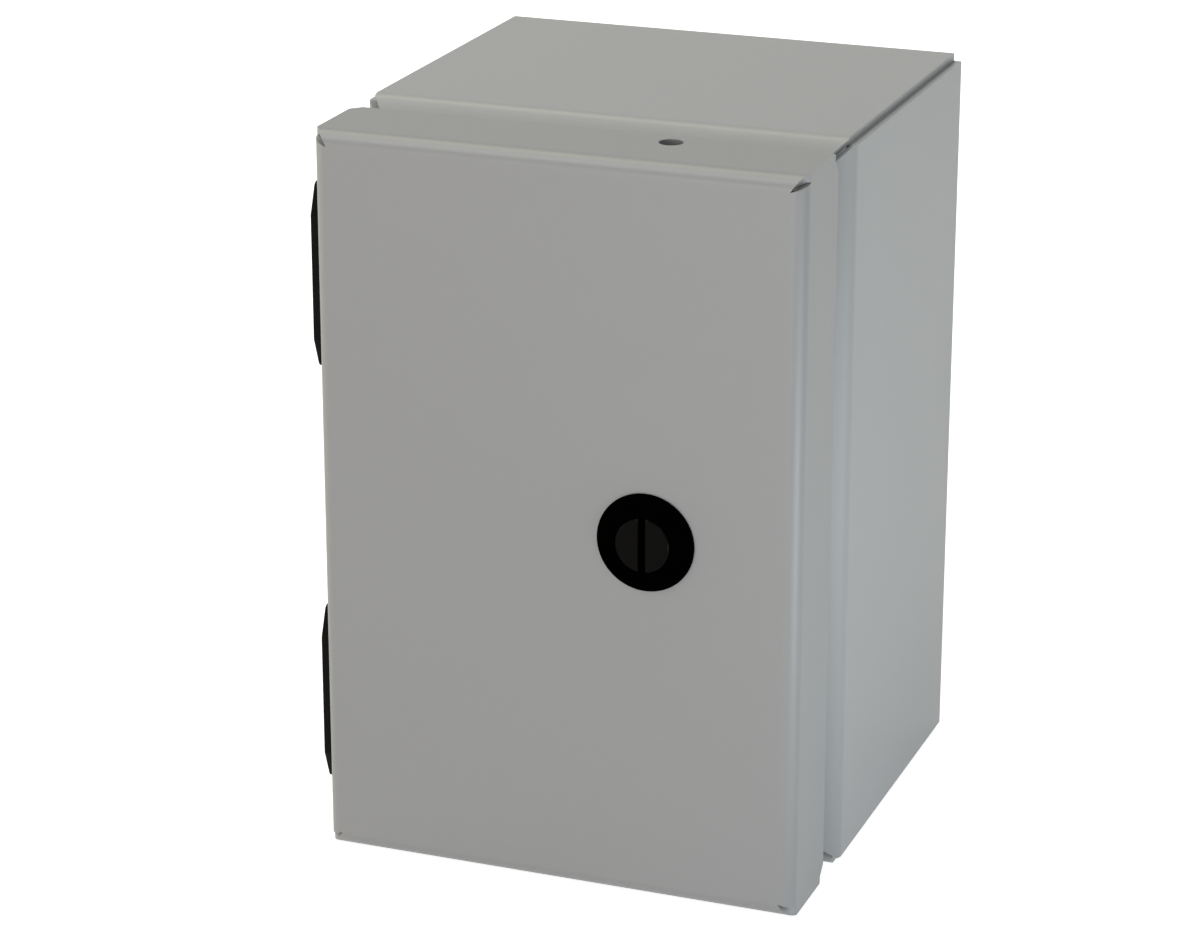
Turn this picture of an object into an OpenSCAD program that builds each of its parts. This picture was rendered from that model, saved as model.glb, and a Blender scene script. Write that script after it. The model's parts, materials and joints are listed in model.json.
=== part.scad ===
// Wall-mounted steel enclosure with a hinged door and a quarter-turn latch.
// Millimetres. +Z is up, the door faces -Y, and the origin is the centre of the back face,
// which lies against the wall.

/* [Box] */
// Width over the side walls
box_w = 101.6; // [96:0.1:200]
// Height over the top and bottom walls
box_h = 152.4; // [146:0.1:300]
// Depth from the wall face to the inside of the closed door
box_d = 101.6; // [70:0.1:200]
// Thickness of every steel sheet
sheet = 1.52; // [1.2:0.02:1.8]
// Inside radius of every bend
bend_r = 1.5; // [1.2:0.1:2]
// Air gap between two wall sheets at a corner seam
seam_gap = 0.08; // [0.04:0.02:0.2]
// Leg of the weld beads inside the box
weld_leg = 2; // [1.5:0.1:3]

/* [Collar round the opening] */
// Distance from the door's face back to the bend where the walls turn in
collar_start = 30.2; // [29:0.1:34]
// Distance that the collar's lip stands in from the outer faces of the walls
collar_inset = 9; // [8.6:0.1:10]
// Diameter of the relief where the bends meet in each front corner
corner_relief_d = 0.4; // [0.3:0.1:1]

/* [Door] */
// Distance that the door's sides stand in from the box's sides
door_side_inset = 0.8; // [0.5:0.1:1]
// Distance that the door's ends stand in from the box's top and bottom
door_end_inset = 0.7; // [0.5:0.1:1]
// Depth of the door's flanges, from its face
door_flange = 20.1; // [18.5:0.1:21]
// Gap between the end flange and the side bend in each front corner
relief_gap = 0.1; // [0.06:0.02:0.6]
// Chamfer on the free corners of the flanges
flange_chamfer = 2; // [1:0.1:3]
// Diameter of the small hole in the top flange
hang_hole_d = 4.8; // [3:0.1:5.4]
// Sideways place of that hole
hang_hole_x = 18; // [-30:1:30]
// Distance of that hole's centre from the flange's back edge
hang_hole_back = 4.3; // [3.8:0.1:8]
// Width of the foam gasket
gasket_w = 8; // [6:0.1:9]
// Thickness of the foam gasket
gasket_t = 4.5; // [3:0.1:5]
// Clearance between the closed door's gasket and the collar's lip
seal_gap = 0.3; // [0.2:0.05:0.6]

/* [Hinges] */
// Distance of each hinge's centre from the box's top or bottom
hinge_inset = 31.75; // [29:0.05:45]
// Length of each hinge
hinge_len = 38; // [36:0.5:44]
// Thickness of the leaves
leaf_t = 2.5; // [2.2:0.1:2.6]
// Distance from the door's face to the front edge of the door leaf
leaf_front = 4.2; // [4:0.1:6]
// Distance from the pin's axis to the back edge of the body leaf
leaf_back = 19.2; // [17:0.1:24]
// Height of the slanted noses of a leaf
nose_h = 6.3; // [3:0.1:8]
// Depth of the slanted noses of a leaf
nose_d = 2.3; // [1:0.1:5]
// Radius of the leaf's free corners
nose_r = 1.4; // [0.5:0.1:2]
// Diameter of the hinge pin
pin_d = 3; // [2.5:0.1:3.4]
// Diameter of the knuckles
knuckle_d = 6.4; // [6:0.1:7]
// Length of the door leaf's middle knuckle
knuckle_len = 13; // [10:0.5:15]
// Gap between neighbouring knuckles
knuckle_gap = 0.3; // [0.2:0.05:0.6]
// Distance of the pin's axis out from the side of the box
pin_out = 2.1; // [1.9:0.1:2.6]
// Distance of the pin's axis behind the door's flange
pin_back = 4; // [3.8:0.1:5]
// Distance of the leaf screws from a leaf's free edge
leaf_screw_edge = 7; // [6.5:0.1:8]
// Distance between the two screws of a leaf
leaf_screw_pitch = 20; // [14:0.5:24]
// Diameter of the leaf screws
leaf_screw_d = 3; // [2.5:0.1:3.2]

/* [Latch] */
// Distance of the latch's axis from the door's free edge
latch_edge = 31; // [30:0.1:34]
// Height of the latch's axis above the middle of the door
latch_rise = 0; // [-20:0.5:20]
// Diameter of the bezel
bezel_d = 20; // [19:0.1:24]
// Height of the bezel
bezel_h = 2.3; // [1.5:0.1:4]
// Diameter of the slotted insert
insert_d = 11.3; // [10:0.1:12]
// Width of the insert's slot
slot_w = 1.6; // [1:0.1:3]
// Depth of the insert's slot
slot_depth = 4.1; // [2:0.1:5]
// Diameter of the threaded barrel
barrel_d = 16; // [15.6:0.1:16.4]
// Length of the barrel behind the door's face
barrel_len = 16.5; // [14:0.1:17]
// Diameter of the turning shaft
shaft_d = 8; // [7.4:0.1:8.6]
// Width across the flats of the shaft's square end
square_af = 5.6; // [5:0.1:6]
// Running clearance between the shaft and the barrel, each side
run_gap = 0.05; // [0.02:0.01:0.1]
// Overlap of the cam behind the collar
cam_catch = 2.6; // [1.5:0.1:3.5]
// Width of the cam
cam_w = 14; // [12:0.5:15]
// Thickness of the cam
cam_t = 2.5; // [2:0.1:3]
// Clearance between the turned cam and the collar
cam_gap = 0.4; // [0.3:0.05:1]

/* [Fixings] */
// Diameter of the wall fixing holes
wall_hole_d = 7.94; // [5:0.01:9]
// Distance of the wall fixing holes from the outer faces of the walls
wall_hole_inset = 12.7; // [10:0.1:16]
// Diameter of the studs
stud_d = 5; // [4:0.1:6]
// Length of the studs for the inner panel
panel_stud_len = 12; // [8:0.5:20]
// Distance of the panel studs from the outer faces of the walls
panel_stud_inset = 25.4; // [20:0.1:32]
// Length of the two earth studs
earth_stud_len = 11; // [9:0.5:14]
// Distance of the box's earth stud from the outer face of the bottom
box_earth_rise = 12.2; // [11:0.1:14]
// Distance of the door's earth stud from the door's free edge
door_earth_edge = 22; // [20:0.1:24]
// Distance of the door's earth stud from the door's bottom edge
door_earth_rise = 27.5; // [22:0.1:32]

/* [Hidden] */

// Smoothness of round parts, and of a sheet bend's arc per 90 degrees
$fn = 64;
bend_steps = 24;
// Slack that lets a cutter run past the solid it cuts
over = 1;

// Box
half_w = box_w / 2;
half_h = box_h / 2;
in_w = half_w - sheet;
in_h = half_h - sheet;
bend_out = bend_r + sheet;
wall_end = sheet + seam_gap;
face_y = -(box_d + sheet);
flat_len = box_d + sheet - collar_start;

// Collar profile, as distance forward from the wall face and distance out from a wall's face
slant_start = [flat_len + bend_out * sin(45), bend_out * cos(45) - bend_out];
slant_len = (collar_inset - (bend_r + bend_out) * (1 - cos(45))) * sqrt(2);
slant_end = slant_start + slant_len * [sin(45), -cos(45)];
slant_inside = [flat_len + bend_r * sin(45), bend_r * cos(45) - bend_out];
lip_centre = slant_end + bend_r * [sin(45), cos(45)];
lip_front = box_d - gasket_t - seal_gap;

// Door
door_w = box_w - 2 * door_side_inset;
door_h = box_h - 2 * door_end_inset;
tip_gap = 0.05;

// Hinges: the pin's place, and what a leaf reaches from there
pin_x = -(half_w + pin_out);
pin_depth = door_flange + pin_back;
door_leaf_x = -door_w / 2 - pin_x;
body_leaf_x = pin_out;
door_leaf_reach = pin_depth - leaf_front;
knuckle_clear = knuckle_d / 2 + 0.4;
pin_fixed_gap = 0.02;
pin_run_gap = 0.06;
pin_head_d = pin_d + 1.8;
pin_head_h = 1;
screw_head_d = 1.9 * leaf_screw_d;
screw_head_rim = 0.3;
screw_gap = 0.1;
thread_gap = 0.02;
leaf_nut_af = 5.5 / 3 * leaf_screw_d;
leaf_nut_t = 0.8 * leaf_screw_d;
screw_proud = 0.7;
screw_len = leaf_t + sheet + leaf_nut_t + screw_proud;
hinge_heights = [hinge_inset - half_h, half_h - hinge_inset];

// Latch, measured outwards from the door's face along its axis
latch_x = door_w / 2 - latch_edge;
bezel_rim = 0.4;
plateau_d = insert_d + 2.7;
insert_proud = 0.1;
insert_chamfer = 0.35;
insert_top = bezel_h + insert_proud;
insert_foot = 6;
foot_gap = 0.1;
flats_in = 1;
hole_gap = 0.1;
bezel_reach = (bezel_d - barrel_d) / 2;
seal_in = 0.15 * bezel_reach;
seal_out = 0.45 * bezel_reach;
seal_t = 0.5;
seal_slack = 0.05;
latch_nut_wall = 2;
latch_nut_af = barrel_d + 2 * latch_nut_wall;
latch_nut_t = 3.5;
oring_d = 1;
oring_from_end = 7.2;
oring_depth = barrel_len - oring_from_end;
cam_seat_gap = 0.3;
cam_seat = barrel_len + cam_seat_gap;
square_gap = 0.05;
tail_end = cam_seat + cam_t - 0.1;
washer_d = 12;
washer_t = 1;
cam_screw_d = 4;
cam_screw_in = 5;
cam_screw_head_d = 7;
cam_screw_head_h = 2.4;

// Cam: it reaches behind the slanted flange, whose back lies at slant_back at a given inset
cam_len = half_w - latch_x - collar_inset + cam_catch;
tip_inset = collar_inset - cam_catch;
slant_back = collar_start - bend_out * tan(22.5) + sheet * sqrt(2);
cam_tip_depth = slant_back - tip_inset + cam_gap * sqrt(2);
jog = cam_tip_depth - cam_seat;
jog_start = cam_w / 2 + 2;

// Studs
stud_base_d = stud_d + 1.6;
stud_base_h = 0.7;
stud_nut_af = 1.6 * stud_d;
stud_nut_t = 0.8 * stud_d;
stud_washer_d = 2 * stud_d;
stud_washer_t = 1;

grey_paint = "#9b9f9e";
zinc = "#b9bcc0";
black = "#1a1917";
foam = "#2a2b2d";
steel = "#8f9296";

// Points of an arc from angle a to angle b about centre c, counter-clockwise from +X
function arc(c, r, a, b) =
    let (n = max(2, ceil(abs(b - a) / 90 * bend_steps)))
    [for (i = [0 : n]) c + r * [cos(a + (b - a) * i / n), sin(a + (b - a) * i / n)]];

// Lays a solid drawn along +Z, with its foot at z = 0, on the door's face at the latch's axis
module at_latch() {
    translate([latch_x, face_y, latch_rise]) rotate([90, 0, 0]) children();
}

// Puts a hinge drawn about its pin at its place on the left side
module at_hinge(z) {
    translate([pin_x, face_y + pin_depth, z]) children();
}

// Repeats a piece drawn at +X and +Z in the four corners
module four_corners() {
    for (mx = [0, 1], mz = [0, 1]) mirror([mx, 0, 0]) mirror([0, 0, mz]) children();
}

module hex_nut(af, t, bore_d) {
    difference() {
        intersection() {
            cylinder(d = af / cos(30), h = t, $fn = 6);
            rotate_extrude() polygon([[0, 0], [af / 2, 0], [af / cos(30) / 2, af * 0.06],
                [af / cos(30) / 2, t - af * 0.06], [af / 2, t], [0, t]]);
        }
        translate([0, 0, -over]) cylinder(d = bore_d, h = t + 2 * over);
    }
}

module washer(d, bore_d, t) {
    difference() {
        cylinder(d = d, h = t);
        translate([0, 0, -over]) cylinder(d = bore_d, h = t + 2 * over);
    }
}

module weld_stud(len) {
    cylinder(d = stud_base_d, h = stud_base_h);
    cylinder(d = stud_d, h = len - 0.5);
    translate([0, 0, len - 0.5]) cylinder(d1 = stud_d, d2 = stud_d - 1, h = 0.5);
}

module stud_nut() {
    translate([0, 0, stud_base_h]) washer(stud_washer_d, stud_d + 2 * screw_gap, stud_washer_t);
    translate([0, 0, stud_base_h + stud_washer_t])
        hex_nut(stud_nut_af, stud_nut_t, stud_d + 2 * thread_gap);
}

// ---- Box ----

// A wall's section: flat, turned in by 45 degrees, and turned back into the collar's lip
module wall_section() {
    polygon(concat(
        [[0, -sheet], [0, 0]],
        arc([flat_len, -bend_out], bend_out, 90, 45),
        arc(lip_centre, bend_r, 225, 270),
        [[lip_front, -collar_inset], [lip_front, -collar_inset - sheet]],
        arc(lip_centre, bend_out, 270, 225),
        arc([flat_len, -bend_out], bend_r, 45, 90)
    ));
}

// Trims the bent part of a wall at the corner at +X. The slanted flange is cut square to its
// sheet, along the line where its inside meets its neighbour's, which leaves a narrow V
// between the two edges. The lip is cut on the mitre, and a small hole relieves the bends.
module corner_trim(half_len, half_out) {
    deep = collar_inset + 3 * sheet;
    tip = [half_len + slant_inside[1] - seam_gap, -slant_inside[0], half_out + slant_inside[1]];
    intersection() {
        translate(tip) rotate([0, asin(1 / sqrt(6)), -atan(1 / 2)])
            translate([0, -2 * deep, -2 * deep]) cube(4 * deep);
        translate([half_len - 2 * deep, -slant_end[0], half_out - 2 * deep])
            cube([4 * deep, slant_end[0] - flat_len + over, 4 * deep]);
    }
    translate([half_len - seam_gap / 2, -slant_end[0] + over, half_out]) rotate([90, 0, 0])
        linear_extrude(lip_front - slant_end[0] + 2 * over)
        polygon([[0, 0], [-deep, -deep], [over, -deep], [over, 0]]);
    translate([half_len, -slant_inside[0], half_out]) rotate([0, 45, 0])
        cylinder(d = corner_relief_d, h = 2 * deep, center = true, $fn = 24);
}

// One wall, drawn as the top: half_len is half the box across it, half_out its outer face
module wall(half_len, half_out) {
    color(grey_paint) difference() {
        translate([0, 0, half_out]) rotate([90, 0, -90])
            linear_extrude(2 * (half_len - wall_end), center = true) wall_section();
        for (side = [0, 1]) mirror([side, 0, 0]) corner_trim(half_len, half_out);
    }
}

module top_panel() { wall(half_w, half_h); }
module bottom_panel() { rotate([0, 180, 0]) wall(half_w, half_h); }

module right_panel() { rotate([0, 90, 0]) wall(half_h, half_w); }

module left_panel() {
    color(grey_paint) difference() {
        rotate([0, -90, 0]) wall(half_h, half_w);
        for (z = hinge_heights) at_hinge(z) leaf_screw_places(leaf_back - leaf_screw_edge)
            sheet_hole(body_leaf_x);
    }
}

module back_panel() {
    color(grey_paint) difference() {
        translate([-in_w, -sheet, -in_h]) cube([2 * in_w, sheet, 2 * in_h]);
        four_corners() translate([half_w - wall_hole_inset, over, half_h - wall_hole_inset])
            rotate([90, 0, 0])
            cylinder(d = wall_hole_d, h = sheet + 2 * over);
    }
}

// A weld bead in an inside corner, drawn along +Z with its legs towards -X and -Y
module bead(len) {
    linear_extrude(len) polygon([[0, 0], [-weld_leg, 0], [0, -weld_leg]]);
}

// Beads along the four corner seams, round the back panel and in the collar's corners
module seam_welds() {
    color(grey_paint) {
        four_corners() translate([in_w, -sheet, in_h]) rotate([90, 0, 0])
            bead(flat_len - sheet);
        for (end = [0, 1]) mirror([0, 0, end]) translate([-in_w, -sheet, in_h])
            rotate([90, 0, 90]) bead(2 * in_w);
        for (side = [0, 1]) mirror([side, 0, 0]) translate([in_w, -sheet, -in_h])
            bead(2 * in_h);
        four_corners() translate([in_w - collar_inset, -lip_centre[0], in_h - collar_inset])
            rotate([90, 0, 0]) bead(lip_front - lip_centre[0]);
    }
}

module panel_studs() {
    color(zinc) four_corners()
        translate([half_w - panel_stud_inset, -sheet, half_h - panel_stud_inset])
        rotate([90, 0, 0])
        weld_stud(panel_stud_len);
}

module at_box_earth() {
    translate([0, -sheet, -half_h + box_earth_rise]) rotate([90, 0, 0]) children();
}

module box_earth_stud() { color(zinc) at_box_earth() weld_stud(earth_stud_len); }
module box_earth_nut() { color(zinc) at_box_earth() stud_nut(); }

// ---- Door ----

// A bend drawn along X, about the axis at y = z = 0, from the face at -Y to the flange at +Z.
// Its ends are straight cuts in the flat sheet, square to its surface, so half its length
// grows evenly with the angle from at_face to at_flange.
module bend(at_face, at_flange) {
    last = 4 * bend_steps;
    points = [for (i = [0 : bend_steps], r = [bend_r, bend_out], side = [-1, 1])
        let (a = 90 * i / bend_steps, half = at_face + (at_flange - at_face) * i / bend_steps)
        [side * half, -r * cos(a), r * sin(a)]];
    steps = [for (i = [0 : 4 : last - 4]) each [
        [i + 3, i + 2, i + 6, i + 7], [i, i + 1, i + 5, i + 4],
        [i, i + 4, i + 6], [i, i + 6, i + 2], [i + 1, i + 3, i + 7], [i + 1, i + 7, i + 5]]];
    polyhedron(points, concat(steps,
        [[0, 2, 3, 1], [last, last + 1, last + 3, last + 2]]));
}

// One flange of the door with its bend, drawn along X at the top. corner_len is where the
// door's outline ends, half_len where this flange ends, and its bend ends end_gap short.
module door_side(half_len, corner_len, half_out, end_gap) {
    translate([0, face_y + bend_out, half_out - bend_out])
        bend(corner_len - bend_out - tip_gap, half_len - end_gap);
    translate([0, face_y + bend_out, half_out]) mirror([0, 0, 1]) linear_extrude(sheet)
        polygon([[-half_len, 0], [half_len, 0],
            [half_len, door_flange - bend_out - flange_chamfer],
            [half_len - flange_chamfer, door_flange - bend_out],
            [flange_chamfer - half_len, door_flange - bend_out],
            [-half_len, door_flange - bend_out - flange_chamfer]]);
}

// The folded sheet: a face, two end flanges over the full width and two side flanges
module door_pan() {
    translate([-door_w / 2 + bend_out, face_y, -door_h / 2 + bend_out])
        cube([door_w - 2 * bend_out, sheet, door_h - 2 * bend_out]);
    for (turn = [0, 180]) rotate([0, turn, 0])
        door_side(door_w / 2, door_w / 2, door_h / 2, 0);
    for (turn = [90, 270]) rotate([0, turn, 0])
        door_side(door_h / 2 - sheet, door_h / 2, door_w / 2, relief_gap);
}

// Barrel outline with two flats that stop it turning
module barrel_outline(gap) {
    intersection() {
        circle(d = barrel_d + 2 * gap);
        square([barrel_d - 2 * flats_in + 2 * gap, barrel_d + 2], center = true);
    }
}

module door_panel() {
    color(grey_paint) difference() {
        door_pan();
        at_latch() translate([0, 0, -sheet - over])
            linear_extrude(sheet + 2 * over) barrel_outline(hole_gap);
        translate([hang_hole_x, face_y + door_flange - hang_hole_back, door_h / 2 - sheet - over])
            cylinder(d = hang_hole_d, h = sheet + 2 * over);
        for (z = hinge_heights) at_hinge(z) leaf_screw_places(leaf_screw_edge - door_leaf_reach)
            sheet_hole(door_leaf_x);
    }
}

// Half sizes of the gasket's outer edge, centred on the collar's lip
gasket_out = gasket_w / 2 - collar_inset - sheet / 2;

module door_gasket() {
    color(foam) translate([0, face_y + sheet, 0]) rotate([-90, 0, 0])
        linear_extrude(gasket_t) difference() {
            square([box_w + 2 * gasket_out, box_h + 2 * gasket_out], center = true);
            square([box_w + 2 * (gasket_out - gasket_w), box_h + 2 * (gasket_out - gasket_w)],
                center = true);
        }
}

module at_door_earth() {
    translate([door_w / 2 - door_earth_edge, face_y + sheet, door_earth_rise - door_h / 2])
        rotate([-90, 0, 0]) children();
}

module door_earth_stud() { color(zinc) at_door_earth() weld_stud(earth_stud_len); }
module door_earth_nut() { color(zinc) at_door_earth() stud_nut(); }

// ---- Hinges ----

// Outline of a leaf from the pin's axis to its free edge, with slanted and rounded noses
module leaf_outline(reach) {
    intersection() {
        offset(r = nose_r) offset(delta = -nose_r)
            polygon([[-reach, -hinge_len / 2], [-reach, hinge_len / 2],
                [reach - nose_d, hinge_len / 2], [reach, hinge_len / 2 - nose_h],
                [reach, nose_h - hinge_len / 2], [reach - nose_d, -hinge_len / 2]]);
        translate([0, -hinge_len]) square([2 * reach, 2 * hinge_len]);
    }
}

// Places for the two screws of a leaf, y being their distance from the pin
module leaf_screw_places(y) {
    for (z = [-leaf_screw_pitch / 2, leaf_screw_pitch / 2]) translate([0, y, z]) children();
}

module sheet_hole(x) {
    translate([x - over, 0, 0]) rotate([0, 90, 0])
        cylinder(d = leaf_screw_d + 2 * screw_gap, h = sheet + 2 * over);
}

// A countersunk screw's shape along +X, or with a gap the hole that it sits in
module screw_shape(len, gap) {
    head_r = screw_head_d / 2 + gap;
    shank_r = leaf_screw_d / 2 + gap;
    rotate([0, 90, 0]) rotate_extrude() polygon([[0, 0], [head_r, 0], [head_r, screw_head_rim],
        [shank_r, screw_head_rim + head_r - shank_r], [shank_r, len], [0, len]]);
}

module leaf_screw_hole(x) {
    translate([x, 0, 0]) screw_shape(leaf_t + over, screw_gap);
}

// Leaf on the door, with the middle knuckle
module door_leaf() {
    outer_x = door_leaf_x - leaf_t;
    difference() {
        union() {
            mirror([0, 1, 0]) translate([outer_x, 0, 0]) rotate([90, 0, 90])
                linear_extrude(leaf_t) leaf_outline(door_leaf_reach);
            cylinder(d = knuckle_d, h = knuckle_len, center = true);
        }
        for (end = [0, 1]) mirror([0, 0, end])
            translate([outer_x - over, -knuckle_clear, knuckle_len / 2])
            cube([leaf_t + 2 * over, 2 * knuckle_clear, hinge_len]);
        cylinder(d = pin_d + 2 * pin_run_gap, h = hinge_len, center = true);
        leaf_screw_places(leaf_screw_edge - door_leaf_reach) leaf_screw_hole(outer_x);
    }
}

// Leaf on the box, with the two end knuckles
module body_leaf() {
    outer_x = body_leaf_x - leaf_t;
    mid = knuckle_len / 2 + knuckle_gap;
    difference() {
        union() {
            translate([outer_x, 0, 0]) rotate([90, 0, 90])
                linear_extrude(leaf_t) leaf_outline(leaf_back);
            for (end = [0, 1]) mirror([0, 0, end]) translate([0, 0, mid])
                cylinder(d = knuckle_d, h = hinge_len / 2 - mid);
        }
        translate([outer_x - over, -knuckle_clear, -mid])
            cube([leaf_t + 2 * over, 2 * knuckle_clear, 2 * mid]);
        cylinder(d = pin_d + 2 * pin_fixed_gap, h = 2 * hinge_len, center = true);
        leaf_screw_places(leaf_back - leaf_screw_edge) leaf_screw_hole(outer_x);
    }
}

// Pin with a head on the upper knuckle and a chamfered foot
module hinge_pin() {
    foot = 0.4;
    rotate_extrude() polygon([[0, -hinge_len / 2], [pin_d / 2 - foot, -hinge_len / 2],
        [pin_d / 2, -hinge_len / 2 + foot], [pin_d / 2, hinge_len / 2],
        [pin_head_d / 2, hinge_len / 2], [pin_head_d / 2, hinge_len / 2 + pin_head_h - foot],
        [pin_head_d / 2 - foot, hinge_len / 2 + pin_head_h], [0, hinge_len / 2 + pin_head_h]]);
}

module upper_hinge_body_leaf() { color(black) at_hinge(hinge_heights[1]) body_leaf(); }
module upper_hinge_door_leaf() { color(black) at_hinge(hinge_heights[1]) door_leaf(); }
module upper_hinge_pin() { color(zinc) at_hinge(hinge_heights[1]) hinge_pin(); }
module lower_hinge_body_leaf() { color(black) at_hinge(hinge_heights[0]) body_leaf(); }
module lower_hinge_door_leaf() { color(black) at_hinge(hinge_heights[0]) door_leaf(); }
module lower_hinge_pin() { color(zinc) at_hinge(hinge_heights[0]) hinge_pin(); }

module leaf_screw() {
    difference() {
        screw_shape(screw_len, 0);
        translate([-over, 0, 0]) rotate([0, 90, 0])
            cylinder(d = 0.7 * leaf_screw_d, h = over + 0.4 * leaf_screw_d, $fn = 6);
    }
}

module leaf_nut() {
    rotate([0, 90, 0]) hex_nut(leaf_nut_af, leaf_nut_t, leaf_screw_d + 2 * thread_gap);
}

module hinge_body_screws() {
    color(black) for (z = hinge_heights) at_hinge(z)
        leaf_screw_places(leaf_back - leaf_screw_edge)
        translate([body_leaf_x - leaf_t, 0, 0]) leaf_screw();
}

module hinge_body_nuts() {
    color(zinc) for (z = hinge_heights) at_hinge(z)
        leaf_screw_places(leaf_back - leaf_screw_edge)
        translate([body_leaf_x + sheet, 0, 0]) leaf_nut();
}

module hinge_door_screws() {
    color(black) for (z = hinge_heights) at_hinge(z)
        leaf_screw_places(leaf_screw_edge - door_leaf_reach)
        translate([door_leaf_x - leaf_t, 0, 0]) leaf_screw();
}

module hinge_door_nuts() {
    color(zinc) for (z = hinge_heights) at_hinge(z)
        leaf_screw_places(leaf_screw_edge - door_leaf_reach)
        translate([door_leaf_x + sheet, 0, 0]) leaf_nut();
}

// ---- Latch ----

// Bezel and threaded barrel in one, bored for the shaft
module latch_housing() {
    color(black) at_latch() difference() {
        union() {
            rotate_extrude() polygon([[0, 0], [bezel_d / 2, 0], [bezel_d / 2, bezel_rim],
                [plateau_d / 2, bezel_h], [0, bezel_h]]);
            translate([0, 0, -barrel_len]) linear_extrude(barrel_len) barrel_outline(0);
        }
        translate([0, 0, -insert_foot - foot_gap])
            cylinder(d = insert_d + 2 * run_gap, h = insert_foot + foot_gap + bezel_h + over);
        translate([0, 0, -barrel_len - over])
            cylinder(d = shaft_d + 2 * run_gap, h = barrel_len);
        translate([0, 0, -over]) washer(bezel_d - 2 * seal_out + 2 * seal_slack,
            barrel_d + 2 * seal_in - 2 * seal_slack, seal_t + seal_slack + over);
    }
}

// Sealing ring in the groove under the bezel
module latch_seal() {
    color(foam) at_latch()
        washer(bezel_d - 2 * seal_out, barrel_d + 2 * seal_in, seal_t);
}

module latch_nut() {
    color(zinc) at_latch() translate([0, 0, -sheet - latch_nut_t])
        hex_nut(latch_nut_af, latch_nut_t, barrel_d + 2 * thread_gap);
}

// Slotted insert and shaft in one, with a square end for the cam
module latch_spindle() {
    insert_r = insert_d / 2;
    shaft_r = shaft_d / 2;
    groove_r = shaft_r - oring_d;
    color(black) at_latch() difference() {
        union() {
            rotate_extrude() polygon([[0, -cam_seat], [shaft_r, -cam_seat],
                [shaft_r, -oring_depth - 0.8 * oring_d], [groove_r, -oring_depth - 0.8 * oring_d],
                [groove_r, -oring_depth + 0.8 * oring_d], [shaft_r, -oring_depth + 0.8 * oring_d],
                [shaft_r, -insert_foot], [insert_r, -insert_foot],
                [insert_r, insert_top - insert_chamfer], [insert_r - insert_chamfer, insert_top],
                [0, insert_top]]);
            translate([-square_af / 2, -square_af / 2, -tail_end])
                cube([square_af, square_af, tail_end - cam_seat + over]);
        }
        translate([-slot_w / 2, -insert_r - over, insert_top - slot_depth])
            cube([slot_w, insert_d + 2 * over, slot_depth + over]);
        translate([0, 0, -tail_end - over])
            cylinder(d = cam_screw_d + 2 * thread_gap, h = over + cam_screw_in + over);
    }
}

module spindle_oring() {
    color(foam) at_latch() translate([0, 0, -oring_depth]) rotate_extrude()
        translate([shaft_d / 2 - oring_d / 2 + thread_gap, 0]) circle(d = oring_d, $fn = 24);
}

// Cam arm seen from the side: distance from the shaft, and distance behind its seat
module cam_side() {
    heel = cam_t * tan(22.5);
    polygon([[-cam_w / 2, 0], [jog_start, 0], [jog_start + jog, jog], [cam_len, jog],
        [cam_len, jog + cam_t], [jog_start + jog - heel, jog + cam_t],
        [jog_start - heel, cam_t], [-cam_w / 2, cam_t]]);
}

module cam_plan() {
    circle(d = cam_w);
    translate([-cam_w / 2, 0]) square([cam_w, cam_len - cam_w / 2]);
    translate([0, cam_len - cam_w / 2]) circle(d = cam_w);
}

// Cranked lever on the square end. At rest it hangs down, clear of the collar.
module latch_cam() {
    color(zinc) at_latch() translate([0, 0, -cam_seat]) rotate([180, 0, 0]) difference() {
        intersection() {
            linear_extrude(jog + cam_t) cam_plan();
            rotate([90, 0, 90]) linear_extrude(cam_w, center = true) cam_side();
        }
        translate([0, 0, -over]) linear_extrude(cam_t + 2 * over)
            square(square_af + 2 * square_gap, center = true);
    }
}

module cam_washer() {
    color(zinc) at_latch() translate([0, 0, -cam_seat - cam_t - washer_t])
        washer(washer_d, cam_screw_d + 2 * screw_gap, washer_t);
}

// Pan-head screw with a hexagon socket
module cam_screw() {
    seat = cam_seat + cam_t + washer_t;
    color(zinc) at_latch() difference() {
        union() {
            translate([0, 0, -seat]) cylinder(d = cam_screw_d, h = seat - tail_end + cam_screw_in);
            translate([0, 0, -seat]) mirror([0, 0, 1]) rotate_extrude()
                polygon([[0, 0], [cam_screw_head_d / 2, 0],
                    [cam_screw_head_d / 2, cam_screw_head_h - 0.8],
                    [cam_screw_head_d / 2 - 0.8, cam_screw_head_h], [0, cam_screw_head_h]]);
        }
        translate([0, 0, -seat - cam_screw_head_h - over])
            cylinder(d = 0.7 * cam_screw_d, h = over + 1.5, $fn = 6);
    }
}

top_panel();
bottom_panel();
left_panel();
right_panel();
back_panel();
seam_welds();
panel_studs();
box_earth_stud();
box_earth_nut();
door_panel();
door_gasket();
door_earth_stud();
door_earth_nut();
upper_hinge_body_leaf();
upper_hinge_door_leaf();
upper_hinge_pin();
lower_hinge_body_leaf();
lower_hinge_door_leaf();
lower_hinge_pin();
hinge_body_screws();
hinge_body_nuts();
hinge_door_screws();
hinge_door_nuts();
latch_housing();
latch_seal();
latch_nut();
latch_spindle();
spindle_oring();
latch_cam();
cam_washer();
cam_screw();
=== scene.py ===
"""Looks of a small steel wall enclosure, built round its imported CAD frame.

The six folded sheets keep their CAD shape and get their coat. Welds, gasket, latch housing,
seals and studs are new surfaces, and hinges, insert, cam and nuts are copies with eased edges."""

import json
import math

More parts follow.
